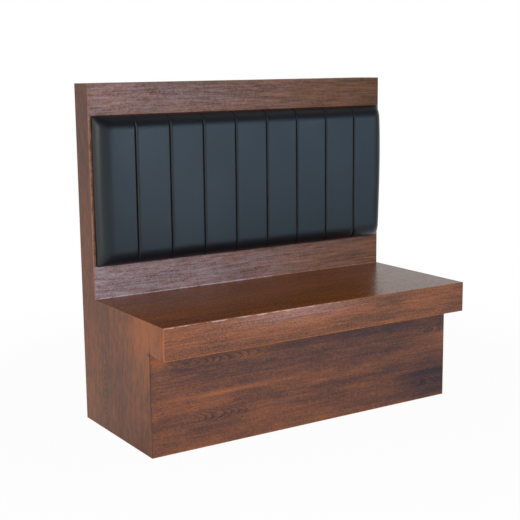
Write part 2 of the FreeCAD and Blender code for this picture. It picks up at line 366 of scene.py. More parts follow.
@dataclass(frozen=True)
class Figure:
    """How strongly each scale of the pattern shows in a veneer."""

    clouds: float = 0.5
    bands: float = 0.3
    fibres: float = 0.4
    speckle: float = 0.3
    rings: float = 0.05
    eyes: float = 0.30
    fibre_run: float = 9.0
    fibre_width: float = 170.0


WALNUT = Stain(
    shade=(0.034, 0.018, 0.019),
    body=(0.108, 0.040, 0.019),
    warm=(0.200, 0.068, 0.029),
    glow=(0.350, 0.105, 0.036),
    rubbed=(0.330, 0.105, 0.030),
)
UMBER = Stain(
    shade=(0.050, 0.022, 0.014),
    body=(0.134, 0.045, 0.020),
    warm=(0.222, 0.071, 0.026),
    glow=(0.340, 0.100, 0.032),
    rubbed=(0.300, 0.105, 0.036),
)
TOBACCO = Stain(
    shade=(0.125, 0.034, 0.003),
    body=(0.210, 0.057, 0.004),
    warm=(0.260, 0.074, 0.006),
    glow=(0.330, 0.097, 0.010),
    rubbed=(0.320, 0.095, 0.018),
)
RUSSET = Stain(
    shade=(0.034, 0.018, 0.013),
    body=(0.106, 0.039, 0.011),
    warm=(0.195, 0.066, 0.016),
    glow=(0.340, 0.102, 0.022),
    rubbed=(0.320, 0.102, 0.022),
    # Its painted sheen colour
    painted_sheen=(0.34, 0.27, 0.305),
)
BURR = Stain(
    shade=(0.036, 0.020, 0.025),
    body=(0.112, 0.043, 0.028),
    warm=(0.205, 0.071, 0.034),
    glow=(0.350, 0.105, 0.036),
    rubbed=(0.330, 0.105, 0.030),
)
# Painted highlight colour for the apron's top edge
PAINTED_HIGHLIGHT_PINK: Colour = (0.52, 0.36, 0.31)
# Painted highlight colour for the arris beside the pad
PAINTED_HIGHLIGHT_ROSE: Colour = (0.36, 0.18, 0.125)
MAHOGANY: Colour = (0.10, 0.034, 0.020)
# Painted highlight colour for the bottom rail's lower edge, on the left
PAINTED_HIGHLIGHT_LAVENDER: Colour = (0.60, 0.53, 0.60)
# Painted highlight colour for the bottom rail's lower edge, on the right
PAINTED_HIGHLIGHT_SAND: Colour = (0.42, 0.24, 0.15)
EMBER: Colour = (0.42, 0.12, 0.025)
OCHRE: Colour = (0.20, 0.075, 0.015)
# Painted shade colour next to the pad
PAINTED_SHADE_SEPIA: Colour = (0.085, 0.040, 0.014)
# A near-black line down the front corner where the end panel meets the base front
NEAR_BLACK: Colour = (0.012, 0.008, 0.008)

# Waves per metre of a veneer's patterns: along the grain, across it and through the board
Waves = tuple[float, float, float]
CLOUD_WAVES: Waves = (3.2, 11.0, 11.0)
BAND_WAVES: Waves = (1.8, 42.0, 42.0)
SPECKLE_WAVES: Waves = (140.0, 260.0, 260.0)
PORE_WAVES: Waves = (60.0, 1100.0, 1100.0)
SWIRL_WAVES: Waves = (30.0, 60.0, 60.0)
DRIFT_WAVES: Waves = (1.6, 7.0, 7.0)
RIPPLE_WAVES: Waves = (20.0, 60.0, 60.0)
ARCH_WAVES: Waves = (12.0, 40.0, 40.0)
RINGS_THROUGH = 40.0
RING_RIPPLE = 0.4
ARCH_WANDER = 2.0


@dataclass(frozen=True)
class Veneer:
    """Open-grained veneer, stained and lacquered."""

    name: str
    grain: Grain
    stain: Stain
    faces: tuple[Face, ...]
    seed: float
    figure: Figure = Figure()
    spots: tuple[Spot, ...] = ()
    lines: tuple[Arris, ...] = ()
    centre: float = 0.0
    spread: float = 0.05
    arch: float = 0.30
    wander: float = 5.0
    tone: float = 0.5
    roughness: float = 0.42
    specular: float = 0.4
    wear: float = 0.6
    wear_width: float = 1.8 * MM

    def material(self) -> bpy.types.Material:
        """The finish as a material."""
        shader, made = Shader.of_material(self.name)
        parts = shader.split(shader.place())
        axes = tuple(parts[axis] for axis in self.grain.value)
        board = shader.join(*axes)
        figure = self.figure
        thread = (figure.fibre_run, figure.fibre_width, figure.fibre_width)
        clouds = shader.noise(board, CLOUD_WAVES, self.seed, 3.0, 0.55)
        bands = shader.noise(board, BAND_WAVES, self.seed + 3, 3.0, 0.55)
        fibres = shader.noise(board, thread, self.seed + 4, 3.0, 0.65)
        speckle = shader.noise(board, SPECKLE_WAVES, self.seed + 5, 2.0, 0.6)
        pores = shader.noise(board, PORE_WAVES, self.seed + 7, 1.0).step(0.06, 0.22)
        swirl = shader.noise(board, SWIRL_WAVES, self.seed + 9, 2.0, 0.6)
        humps = [self._hump(axes, spot) for spot in self.spots]
        rings = self._rings(shader, board, axes, humps)
        tone = (self.tone + figure.clouds * clouds + figure.bands * bands
                + figure.fibres * fibres + figure.speckle * speckle - rings)
        # Painted sheen: the stain's sheen colour is mixed into the base colour in patches, where
        # spots ask for it
        painted_sheen = 0.0
        for spot, hump in zip(self.spots, humps):
            if spot.warmth:
                tone = tone + spot.warmth * hump
            if spot.painted_sheen:
                painted_sheen = painted_sheen + spot.painted_sheen * hump
        stain = self.stain
        colour = shader.ramp(tone, ((0.12, stain.shade), (0.45, stain.body),
                                    (0.68, stain.warm), (0.95, stain.glow)))
        colour = shader.tint(colour, 1 - 0.3 * pores)
        if isinstance(painted_sheen, Signal):
            patchy = (1 + 3.0 * (fibres + speckle) + 1.5 * swirl).highest(0.0)
            colour = shader.mix((painted_sheen * patchy).lowest(1.0), colour, stain.painted_sheen)
        ragged = 1 + 1.5 * (swirl + speckle)
        edge = self._edge(axes[0], axes[1]) / self.wear_width
        rubbed = (ragged - edge).step(0.0, 0.8) * self.wear
        colour = shader.mix(rubbed, colour, stain.rubbed)
        for line in self.lines:
            broken = ragged + line.broken * swirl if line.broken else ragged
            colour = shader.mix(self._line(axes, line, broken), colour, line.colour)
        gloss = self.roughness + 0.14 * speckle + 0.10 * fibres + 0.12 * pores
        relief = 0.5 + 0.5 * speckle + 0.4 * fibres - 0.5 * pores - 0.3 * rings
        shader.surface({
            "Base Color": colour,
            "Roughness": gloss,
            "Specular IOR Level": self.specular,
            "Normal": shader.bump(relief, 0.35 * MM, 0.5),
        })
        return made

    @staticmethod
    def _hump(axes: tuple[Signal, ...], spot: Spot) -> Signal:
        """1 in the middle of a spot, falling off smoothly to 0 all round it."""
        far = (axes[0] - spot.along) / spot.length
        wide = (axes[1] - spot.across) / spot.width
        return (-1.0 * (far * far + wide * wide)).exponent()

    def _rings(self, shader: Shader, board: Signal, axes: tuple[Signal, ...],
               humps: list[Signal]) -> Signal:
        """How much darker the growth rings make each point.

        Args:
            shader: The shader that is being written.
            board: The point in the board's own axes.
            axes: Its place along the grain, across the face and through the board.
            humps: The strength of each spot at the point.

        Returns:
            A value that jumps up at each ring and falls off after it.
        """
        offset = (axes[1] - self.centre) / self.spread
        count = offset * offset + axes[0] * (1 / self.arch) + axes[2] * RINGS_THROUGH
        count = count + self.wander * shader.noise(board, DRIFT_WAVES, self.seed + 11)
        count = count + RING_RIPPLE * shader.noise(board, RIPPLE_WAVES, self.seed + 13)
        shown = self.figure.rings
        for spot, hump in zip(self.spots, humps):
            if spot.rings:
                count = count + spot.rings * hump
                shown = shown + self.figure.eyes * hump
        dark = (1 - count.fraction()) ** 2.0 * shown
        for spot, hump in zip(self.spots, humps):
            if spot.arch:
                dark = dark + self._arches(shader, board, axes, spot) * self.figure.eyes * hump
        return dark

    def _arches(self, shader: Shader, board: Signal, axes: tuple[Signal, ...],
                spot: Spot) -> Signal:
        """Nested arches that point along the grain, as where a ring just reaches the face."""
        offset = (axes[1] - spot.across) / (0.6 * spot.width)
        count = offset * offset + (axes[0] - spot.along) / spot.arch
        count = count + ARCH_WANDER * shader.noise(board, ARCH_WAVES, self.seed + 17)
        return (1 - count.fraction()) ** 2.0

    @staticmethod
    def _line(axes: tuple[Signal, ...], line: Arris, ragged: Signal) -> Signal:
        """How strongly a line shows at each point."""
        away = (axes[line.way.value] - line.place).absolute() / line.width
        start, end = line.span
        reach = axes[0].step(start - 0.05, start + 0.02) * axes[0].step(end + 0.12, end - 0.06)
        return (ragged - away).step(0.0, 0.8) * reach * line.strength

    def _edge(self, along: Signal, across: Signal) -> Signal:
        """The distance from a point on the face to the board's outline."""
        inside = None
        for face in self.faces:
            low, high = face.along
            near, far = face.across
            reach = (along - low).lowest(high - along).lowest((across - near).lowest(far - across))
            inside = reach if inside is None else inside.highest(reach)
        return inside


@dataclass(frozen=True)
class Vinyl:
    """Upholstery vinyl with a fine pebbled grain."""

    name: str
    colour: Colour
    faded: Colour
    roughness: float = 0.42

    def material(self) -> bpy.types.Material:
        """The finish as a material."""
        shader, made = Shader.of_material(self.name)
        place = shader.place()
        cells = shader.node("ShaderNodeTexVoronoi", {"feature": "DISTANCE_TO_EDGE"},
                            {"Vector": place, "Scale": 780.0, "Randomness": 0.9})
        creases = cells.step(0.0, 0.22)
        fine = shader.noise(place, (1600.0, 1600.0, 1600.0), 2.0, 2.0)
        handled = shader.noise(place, (5.0, 5.0, 3.0), 4.0, 3.0)
        mottle = shader.noise(place, (60.0, 60.0, 60.0), 6.0, 2.0)
        share = (0.5 + 0.9 * handled + 0.35 * mottle).step(0.0, 1.0)
        colour = shader.mix(share, self.colour, self.faded)
        # Darker in the grain's creases: painted shade
        colour = shader.tint(colour, 0.82 + 0.18 * creases)
        relief = creases + 0.25 * fine
        shader.surface({
            "Base Color": colour,
            "Roughness": self.roughness + 0.18 * handled + 0.10 * mottle - 0.05 * creases,
            "Normal": shader.bump(relief, 0.06 * MM, 0.6),
        })
        return made


@dataclass(frozen=True)
class PlainTimber:
    """Planed softwood or bare plywood, unfinished."""

    name: str
    grain: Grain
    pale: Colour
    dark: Colour
    ring: float
    plies: float = 0.0
    seed: float = 0.0

    def material(self) -> bpy.types.Material:
        """The finish as a material."""
        shader, made = Shader.of_material(self.name)
        parts = shader.split(shader.place())
        along, across, deep = (parts[axis] for axis in self.grain.value)
        board = shader.join(along, across, deep)
        drift = shader.noise(board, (1.5, 12.0, 12.0), self.seed, 2.0)
        fibres = shader.noise(board, (16.0, 420.0, 420.0), self.seed + 2, 3.0)
        rings = ((across + deep * 0.6) / self.ring + 3.0 * drift).fraction() ** 3.0
        tone = 0.35 + 0.5 * rings + 0.7 * fibres
        if self.plies:
            layers = (deep / self.plies).fraction().step(0.42, 0.58)
            tone = tone * 0.6 + 0.35 * layers
        colour = shader.mix(tone.step(0.0, 1.0), self.pale, self.dark)
        shader.surface({
            "Base Color": colour,
            "Roughness": 0.72 + 0.15 * fibres,
            "Normal": shader.bump(fibres + 0.3 * rings, 0.3 * MM, 0.5),
        })
        return made


@dataclass(frozen=True)
class CellFoam:
    """Open-cell upholstery foam."""

    name: str
    colour: Colour
    aged: Colour

    def material(self) -> bpy.types.Material:
        """The finish as a material."""
        shader, made = Shader.of_material(self.name)
        place = shader.place()
        cells = shader.node("ShaderNodeTexVoronoi", None, {"Vector": place, "Scale": 900.0})
        aged = shader.noise(place, (9.0, 9.0, 9.0), 1.0, 3.0).step(-0.2, 0.3)
        colour = shader.mix(aged, self.colour, self.aged)
        shader.surface({
            # Darker in the hollows of the cells: painted shade
            "Base Color": shader.tint(colour, 0.7 + 0.5 * cells),
            "Roughness": 0.9 - 0.1 * cells,
            "Normal": shader.bump(cells, 0.5 * MM),
        })
        return made


@dataclass(frozen=True)
class Plating:
    """Zinc plating on small hardware."""

    name: str
    bright: Colour
    dull: Colour
    roughness: float = 0.35

    def material(self) -> bpy.types.Material:
        """The finish as a material."""
        shader, made = Shader.of_material(self.name)
        place = shader.place()
        spangle = shader.noise(place, (420.0, 420.0, 420.0), 1.0, 3.0)
        cloud = shader.noise(place, (40.0, 40.0, 40.0), 2.0, 2.0).step(-0.2, 0.3)
        shader.surface({
            "Base Color": shader.mix(cloud, self.bright, self.dull),
            "Metallic": 0.95 - 0.15 * cloud,
            "Roughness": self.roughness + 0.25 * spangle + 0.1 * cloud,
            "Normal": shader.bump(spangle, 0.04 * MM, 0.4),
        })
        return made


@dataclass(frozen=True)
class Thread:
    """Twisted sewing thread."""

    name: str
    colour: Colour

    def material(self) -> bpy.types.Material:
        """The finish as a material."""
        shader, made = Shader.of_material(self.name)
        place = shader.place()
        twist = shader.noise(place, (2600.0, 2600.0, 900.0), 1.0, 2.0)
        shade = (1 + 1.4 * twist).highest(0.3)
        shader.surface({
            "Base Color": shader.tint(self.colour, shade),
            "Roughness": 0.55 + 0.3 * twist,
            "Normal": shader.bump(twist, 0.05 * MM),
        })
        return made


# Helpers for pieces

def dress(node: str, material: bpy.types.Material) -> None:
    """Give a node of the frame its finish."""
    for material_slot in frame["nodes"][node].material_slots:
        material_slot.material = material


def new_piece(name: str, mesh_maker: bmesh.types.BMesh, material: bpy.types.Material,
              smooth: bool) -> bpy.types.Object:
    """Turn a finished bmesh into a piece that rides with the bench.

    Args:
        name: The piece's name.
        mesh_maker: The bmesh, which is freed.
        material: The piece's finish.
        smooth: Whether its faces are shaded smooth.

    Returns:
        The new object, in the scene.
    """
    mesh = bpy.data.meshes.new(name)
    for face in mesh_maker.faces:
        face.smooth = smooth
    mesh_maker.to_mesh(mesh)
    mesh_maker.free()
    mesh.materials.append(material)
    piece = bpy.data.objects.new(name, mesh)
    bpy.context.scene.collection.objects.link(piece)
    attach(piece, BODY)
    log.info("%s: %d faces", name, len(mesh.polygons))
    return piece


# Sub-assemblies

@dataclass
class VeneeredCase:
    """The veneered boards that show: both ends, rails, seat, apron and base."""

    def build(self) -> None:
        """Read the boards' places from the frame; their shapes are the frame's own."""
        self.end_low, self.end_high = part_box("left_end_panel")
        self.rail_low, self.rail_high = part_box("bottom_rail")
        self.top_low, self.top_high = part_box("top_rail")
        self.apron_low, self.apron_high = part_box("seat_apron")
        self.base_low, self.base_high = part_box("base_front_panel")

    def _end_faces(self) -> tuple[Face, ...]:
        """The three rectangles that together make the end panel's outline."""
        rear = self.end_high.y
        return (
            Face((0.0, self.end_high.z), (self.rail_low.y, rear)),
            Face((0.0, self.apron_high.z), (self.base_low.y, rear)),
            Face((self.apron_low.z, self.apron_high.z), (self.end_low.y, rear)),
        )

    def _level_face(self, node: str) -> tuple[Face, ...]:
        """The upright face of a board with level grain."""
        low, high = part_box(node)
        return (Face((low.x, high.x), (low.z, high.z)),)

    def _top_face(self, node: str) -> tuple[Face, ...]:
        """The top face of a board with level grain."""
        low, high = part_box(node)
        return (Face((low.x, high.x), (low.y, high.y)),)

    def dress(self) -> None:
        """Give each board its own piece of veneer."""
        for number, (side, sign) in enumerate((("left", -1), ("right", 1))):
            self._dress_end(side, sign, 3.0 + 5 * number)
        self._dress_rails()
        self._dress_apron()
        self._dress_base()
        dress("nose_soffit", Veneer(
            "soffit_veneer", Grain.LEVEL_TOP, WALNUT, self._top_face("nose_soffit"), 71.0,
        ).material())
        dress("top_cap", Veneer(
            "cap_veneer", Grain.LEVEL_TOP, WALNUT, self._top_face("top_cap"), 83.0,
            centre=0.5, lines=(Arris(Way.ACROSS, self.top_low.y, 4.0 * MM, OCHRE, 0.9),),
        ).material())
        dress("seat_board", Veneer(
            "seat_veneer", Grain.LEVEL_TOP, TOBACCO, self._top_face("seat_board"), 97.0,
            Figure(clouds=0.6, bands=0.9, fibres=0.5, speckle=0.15, rings=0.1),
            # Painted reflections: of the white backdrop at the right end, and of the rail at the
            # rear left
            spots=(Spot(0.58, 0.0, 0.22, 0.40, painted_sheen=0.20),
                   Spot(-0.45, 0.12, 0.45, 0.12, painted_sheen=0.06)),
            lines=(Arris(Way.ACROSS, self.apron_low.y, 14.0 * MM, EMBER, 0.7, (-0.7, 0.2)),),
            centre=-0.5, spread=0.09, arch=0.6, roughness=0.26, specular=0.25,
        ).material())
        dress("rear_panel", Veneer(
            "rear_plywood", Grain.UPRIGHT_FRONT, UMBER, (Face((-1.0, 3.0), (-2.0, 2.0)),), 111.0,
            Figure(rings=0.25), centre=0.1, spread=0.06, arch=0.09, roughness=0.62, wear=0.0,
        ).material())
        log.info("veneered case: dressed")

    def _dress_end(self, side: str, sign: int, seed: float) -> None:
        """Upright veneer with nested arches low down, a painted highlight on the arris beside the
        pad, and painted shade next to the pad.

        Args:
            side: Left or right.
            sign: Which way that end lies along the width.
            seed: What sets its pattern apart.
        """
        low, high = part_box(f"{side}_end_panel")
        inner = high.x if sign < 0 else low.x
        dress(f"{side}_end_panel", Veneer(
            f"{side}_end_veneer", Grain.UPRIGHT_END, UMBER, self._end_faces(), seed,
            Figure(clouds=0.45, bands=0.25, fibres=1.1, speckle=0.4, rings=0.05, eyes=0.36,
                   fibre_run=20.0, fibre_width=80.0),
            spots=(Spot(0.15, 0.130, 0.12, 0.045, rings=0.5),
                   Spot(0.21, 0.017, 0.10, 0.030, rings=5.0),
                   Spot(0.40, -0.18, 0.16, 0.14, warmth=0.50),
                   Spot(1.05, 0.24, 0.30, 0.10, warmth=-0.15),
                   Spot(0.15, 0.25, 0.30, 0.12, warmth=0.12),
                   # Painted shade: a dark mark at the inside corner under the seat's nose
                   Spot(self.apron_low.z, self.base_low.y, 0.005, 0.014, warmth=-0.8)),
            # Beside the pad: a painted highlight on the outer arris, then painted shade on the
            # inner part next to the pad
            lines=(Arris(Way.ACROSS, self.rail_low.y, 1.2 * MM, PAINTED_HIGHLIGHT_ROSE, 0.85, (0.50, 1.12)),
                   Arris(Way.DEEP, inner, 12.0 * MM, PAINTED_SHADE_SEPIA, 0.9, (0.44, 1.2)),
                   Arris(Way.ACROSS, self.end_low.y, 7.0 * MM, EMBER, 0.8),
                   Arris(Way.ACROSS, self.end_high.y, 7.0 * MM, MAHOGANY, 0.8),
                   Arris(Way.ACROSS, self.base_low.y, 4.0 * MM, NEAR_BLACK, 0.9, (0.16, 0.33))),
            centre=0.13, spread=0.020, arch=0.021, wander=1.5, tone=0.48, specular=0.2,
        ).material())

    def _dress_rails(self) -> None:
        """Fine level grain with a greyish painted sheen that fades from the left to the right."""
        fine = Figure(clouds=0.45, bands=0.3, fibres=0.8, speckle=0.3)
        dress("top_rail", Veneer(
            "top_rail_veneer", Grain.LEVEL_FRONT, RUSSET, self._level_face("top_rail"), 21.0, fine,
            spots=(Spot(-0.62, 1.10, 0.85, 0.40, painted_sheen=0.29),),
            centre=1.3, spread=0.08, arch=0.5, tone=0.55, specular=0.14,
        ).material())
        dress("bottom_rail", Veneer(
            "bottom_rail_veneer", Grain.LEVEL_FRONT, RUSSET, self._level_face("bottom_rail"), 33.0,
            fine, spots=(Spot(-0.64, 0.47, 0.90, 0.30, painted_sheen=0.58),),
            lines=(Arris(Way.ALONG, self.rail_low.x, 4.0 * MM, EMBER, 0.7),
                   # A painted highlight along the rail's lower edge: lavender-white on the left,
                   # sandy on the right
                   Arris(Way.ACROSS, self.rail_low.z, 3.0 * MM, PAINTED_HIGHLIGHT_LAVENDER, 0.65, (-0.7, 0.1), 2.0),
                   Arris(Way.ACROSS, self.rail_low.z, 2.5 * MM, PAINTED_HIGHLIGHT_SAND, 0.6, (0.05, 0.7))),
            centre=0.7, spread=0.08, arch=0.5, tone=0.66, specular=0.14,
        ).material())

    def _dress_apron(self) -> None:
        """Redder, speckled veneer, with a painted highlight along its top edge and rubbed orange
        along its foot and its left end.
        """
        top, foot = self.apron_high.z, self.apron_low.z
        dress("seat_apron", Veneer(
            "apron_veneer", Grain.LEVEL_FRONT, WALNUT, self._level_face("seat_apron"), 47.0,
            Figure(clouds=0.6, bands=0.6, fibres=0.8, speckle=1.2),
            # A painted highlight patch near the apron's top edge
            spots=(Spot(-0.12, 0.425, 0.20, 0.03, painted_sheen=0.25),),
            # A painted highlight along the top edge, broken in places
            lines=(Arris(Way.ACROSS, top, 3.5 * MM, PAINTED_HIGHLIGHT_PINK, 0.75, (-0.59, 0.0), 3.0),
                   Arris(Way.ACROSS, foot, 4.0 * MM, EMBER, 0.7),
                   Arris(Way.ALONG, self.apron_low.x, 3.0 * MM, EMBER, 0.9)),
            centre=0.1, spread=0.09, arch=0.5, tone=0.71, specular=0.32,
        ).material())

    def _dress_base(self) -> None:
        """Cloudy veneer with arches to the left, closed rings to the right, a warm streak, and
        painted light low on the left and painted shade low on the right.
        """
        dress("base_front_panel", Veneer(
            "base_front_veneer", Grain.LEVEL_FRONT, BURR, self._level_face("base_front_panel"),
            59.0, Figure(clouds=0.9, bands=0.6, fibres=0.5, speckle=0.8, eyes=0.5),
            spots=(Spot(-0.345, 0.098, 0.09, 0.028, arch=0.030),
                   Spot(-0.34, 0.284, 0.17, 0.022, arch=0.035),
                   Spot(0.50, 0.080, 0.09, 0.026, rings=5.0),
                   Spot(0.53, 0.262, 0.08, 0.022, rings=4.0),
                   Spot(-0.25, 0.172, 0.22, 0.009, warmth=0.35),
                   Spot(0.10, 0.150, 0.20, 0.020, warmth=0.15),
                   Spot(-0.57, 0.300, 0.03, 0.040, warmth=0.30),
                   # Painted light and shade: lighter low on the left and darker low on the right,
                   # where the lamps fall off
                   Spot(-0.20, 0.020, 0.45, 0.060, warmth=0.15),
                   Spot(0.60, 0.080, 0.25, 0.100, warmth=-0.34)),
            lines=(Arris(Way.ACROSS, 0.0, 4.0 * MM, EMBER, 0.5),
                   Arris(Way.ALONG, self.base_low.x, 2.5 * MM, NEAR_BLACK, 0.8)),
            centre=0.5, spread=0.07, arch=0.5, tone=0.57, specular=0.3,
        ).material())


@dataclass
class BackPad:
    """The channel-sewn pad between the rails: its cover, its foam and its seams."""

    channels: int = 9
    outer_extra: float = 7.0 * MM
    seam_depth: float = 9.3 * MM
    fold_width: float = 6.0 * MM
    fold_curve: float = 2.0
    slope_width: float = 12.0 * MM
    slope_curve: float = 3.2
    groove_fade: float = 0.9
    groove_change: float = 0.08
    stray: float = 0.35 * MM
    left_run: float = 60.0 * MM
    right_run: float = 45.0 * MM
    side_power: float = 2.3
    level_run: float = 49.0 * MM
    level_power: float = 2.1
    left_bulge: float = 5.5 * MM
    left_power: float = 0.25
    right_bulge: float = 10.0 * MM
    right_power: float = 0.6
    droop: float = 2.8 * MM
    bulge_height: float = 0.25
    lift: float = 0.4 * MM
    wall: float = 1.2 * MM
    rear_return: float = 9.0 * MM
    foam_corner: float = 30.0 * MM
    foam_round: float = 34.0 * MM
    foam_draw: float = 16.0 * MM
    foam_segments: int = 8
    columns_per_channel: int = 32
    crowding: float = 0.85
    rim_steps: int = 14
    face_rows: int = 42
    swell: float = 3.5 * MM
    pressure: float = 4.0
    cloth_frames: int = 20
    cloth_quality: int = 8
    vertex_mass: float = 0.002
    stitch_pitch: float = 4.2 * MM
    stitch_length: float = 3.0 * MM
    stitch_radius: float = 0.35 * MM
    stitch_margin: float = 0.2

    def build(self) -> None:
        """Make the cover, the foam and the seams' thread."""
        low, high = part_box("pad_board")
        self.half_width = high.x + self.wall
        self.low_z = low.z - self.wall
        self.high_z = high.z + self.wall
        self.wood_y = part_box("top_rail")[0].y
        self.rear_y = high.y + self.wall
        self.crown = self.wood_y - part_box("pad_cover")[0].y - self.lift
        self.cover = self._make_cover()
        self.foam = self._make_foam()
        self.thread = self._make_thread()

    def seams(self) -> list[float]:
        """The place of each sewn seam along the width."""
        pitch = (self.half_width - self.outer_extra) * 2 / self.channels
        middle = (self.channels - 2) / 2
        return [(number - middle) * pitch for number in range(self.channels - 1)]

    def _rim(self, run: float, power: float) -> list[tuple[float, float]]:
        """The rounded rim from the wood to the crown.

        Args:
            run: How far the rim reaches in from the pad's edge.
            power: 2 for an ellipse, and more for a fuller roll.

        Returns:
            Distances from the edge, each with its share of the pad's height.
        """
        points = []
        for step in range(self.rim_steps + 1):
            angle = math.pi / 2 * step / self.rim_steps
            share = 1 - max(math.cos(angle), 0.0) ** (2 / power)
            points.append((run * share, math.sin(angle) ** (2 / power)))
        return points

    def _bulge(self, place: float, z: float, side: float) -> float:
        """How far the pad's soft side hangs out over the wood.

        Args:
            place: The column's place along the width.
            z: The row's height.
            side: The column's share of the pad's height.

        Returns:
            A distance along the width, with its sign.
        """
        run, most, power = self.left_run, self.left_bulge, self.left_power
        if place > 0:
            run, most, power = self.right_run, self.right_bulge, self.right_power
        near = max(0.0, abs(place) - self.half_width + run) / run
        high = min(max((z - self.low_z) / (self.high_z - self.low_z), 0.0), 1.0)
        belly = max(math.sin(math.pi * high ** 1.5), 0.0) ** power
        return math.copysign(most * near * self._free(side) * belly, place)

    def _sag(self, z: float, rise: float) -> float:
        """How far the pad's lower roll hangs down over the wood, at a row's height and rise."""
        near = max(0.0, 1 - (z - self.low_z) / self.level_run)
        return self.droop * near * self._free(rise)

    def _free(self, share: float) -> float:
        """How freely the cover moves at a share of the pad's height: 0 at the wood."""
        return 1 - max(0.0, 1 - share / self.bulge_height) ** 2

    def _columns(self) -> list[tuple[float, float]]:
        """The place and height share of each column, from the left to the right."""
        left = [(run - self.half_width, rise)
                for run, rise in self._rim(self.left_run, self.side_power)]
        right = [(self.half_width - run, rise)
                 for run, rise in self._rim(self.right_run, self.side_power)]
        stops = [left[-1][0], *self.seams(), right[-1][0]]
        face = []
        for start, end in zip(stops, stops[1:]):
            for step in range(1, self.columns_per_channel + 1):
                share = step / self.columns_per_channel
                crowded = share - self.crowding * math.sin(2 * math.pi * share) / (2 * math.pi)
                face.append((start + (end - start) * crowded, 1.0))
        return left + face[:-1] + right[::-1]

    def _rows(self) -> list[tuple[float, float]]:
        """The height and rise share of each row, from the bottom to the top."""
        rim = self._rim(self.level_run, self.level_power)
        low = [(self.low_z + run - self._sag(self.low_z + run, rise), rise) for run, rise in rim]
        high = [(self.high_z - run, rise) for run, rise in rim]
        start, end = low[-1][0], high[-1][0]
        face = [(start + (end - start) * step / self.face_rows, 1.0)
                for step in range(1, self.face_rows)]
        return low + face + high[::-1]

    def _make_cover(self) -> bpy.types.Object:
        """The vinyl cover: wrapped over the foam, swollen as cloth, sewn, and given its wall."""
        maker = self._wrap()
        self._swell(maker)
        maker.normal_update()
        for vertex in maker.verts:
            share = min(max((self.wood_y - vertex.co.y) / self.crown, 0.0), 1.0)
            depth = share ** self.groove_fade * self._groove(vertex.co.x, vertex.co.z)
            vertex.co -= depth * vertex.normal
        self.surface = BVHTree.FromBMesh(maker)
        bmesh.ops.solidify(maker, geom=maker.faces[:], thickness=self.wall)
        return new_piece("back_pad_cover", maker, COVER.material(), True)

    def _wrap(self) -> bmesh.types.BMesh:
        """A grid laid over the foam and turned in behind the board, not yet swollen."""
        columns = self._columns()
        rows = self._rows()
        count_x, count_z = len(columns) + 2, len(rows) + 2
        maker = bmesh.new()
        bmesh.ops.create_grid(maker, x_segments=count_x - 1, y_segments=count_z - 1, size=0.5)
        for vertex in maker.verts:
            column = round((vertex.co.x + 0.5) * (count_x - 1)) - 1
            row = round((vertex.co.y + 0.5) * (count_z - 1)) - 1
            tucked = not (0 <= column < len(columns) and 0 <= row < len(rows))
            place, side = columns[min(max(column, 0), len(columns) - 1)]
            z, rise = rows[min(max(row, 0), len(rows) - 1)]
            proud = self.lift + (self.crown - self.swell) * rise * side
            if tucked:
                vertex.co = (place, self.rear_y, z)
            else:
                vertex.co = (place + self._bulge(place, z, side), self.wood_y - proud, z)
        border = [edge for edge in maker.edges if edge.is_boundary]
        turned = bmesh.ops.extrude_edge_only(maker, edges=border)["geom"]
        middle = (self.low_z + self.high_z) / 2
        for vertex in (part for part in turned if isinstance(part, bmesh.types.BMVert)):
            if abs(vertex.co.x) > self.half_width - self.rear_return:
                vertex.co.x -= math.copysign(self.rear_return, vertex.co.x)
            if abs(vertex.co.z - middle) > (self.high_z - self.low_z) / 2 - self.rear_return:
                vertex.co.z -= math.copysign(self.rear_return, vertex.co.z - middle)
        bmesh.ops.recalc_face_normals(maker, faces=maker.faces)
        front = min(maker.faces, key=lambda face: face.calc_center_median().y)
        if front.normal.y > 0:
            bmesh.ops.reverse_faces(maker, faces=maker.faces)
        return maker

    def _swell(self, maker: bmesh.types.BMesh) -> None:
        """Let the cover swell as cloth under the foam's pressure, held by its staples and seams.

        Args:
            maker: The wrapped cover, whose points are moved.
        """
        mesh = bpy.data.meshes.new("swelling_cover")
        maker.to_mesh(mesh)
        piece = bpy.data.objects.new("swelling_cover", mesh)
        scene = bpy.context.scene
        scene.collection.objects.link(piece)
        held = piece.vertex_groups.new(name="held")
        line = self.wood_y - self.lift - 0.5 * MM
        for vertex in mesh.vertices:
            sewn = min(abs(vertex.co.x - seam) for seam in self.seams()) < 0.1 * MM
            if sewn or vertex.co.y > line:
                held.add([vertex.index], 1.0, "REPLACE")
        cloth = piece.modifiers.new("swell", "CLOTH")
        cloth.settings.mass = self.vertex_mass
        cloth.settings.quality = self.cloth_quality
        cloth.settings.use_pressure = True
        cloth.settings.uniform_pressure_force = self.pressure
        cloth.settings.vertex_group_mass = held.name
        cloth.settings.effector_weights.gravity = 0.0
        cloth.point_cache.frame_start = 1
        cloth.point_cache.frame_end = self.cloth_frames
        for number in range(1, self.cloth_frames + 1):
            scene.frame_set(number)
        swollen = piece.evaluated_get(bpy.context.evaluated_depsgraph_get()).data.vertices
        furthest = 0.0
        for vertex, target in zip(maker.verts, swollen):
            move = target.co - vertex.co
            furthest = max(furthest, move.length)
            if move.length > 0:
                vertex.co += move * (self.swell * math.tanh(move.length / self.swell) / move.length)
        bpy.data.objects.remove(piece)
        scene.frame_set(1)
        log.info("back pad: cover swelled, at most %.1f mm before its cap", furthest / MM)

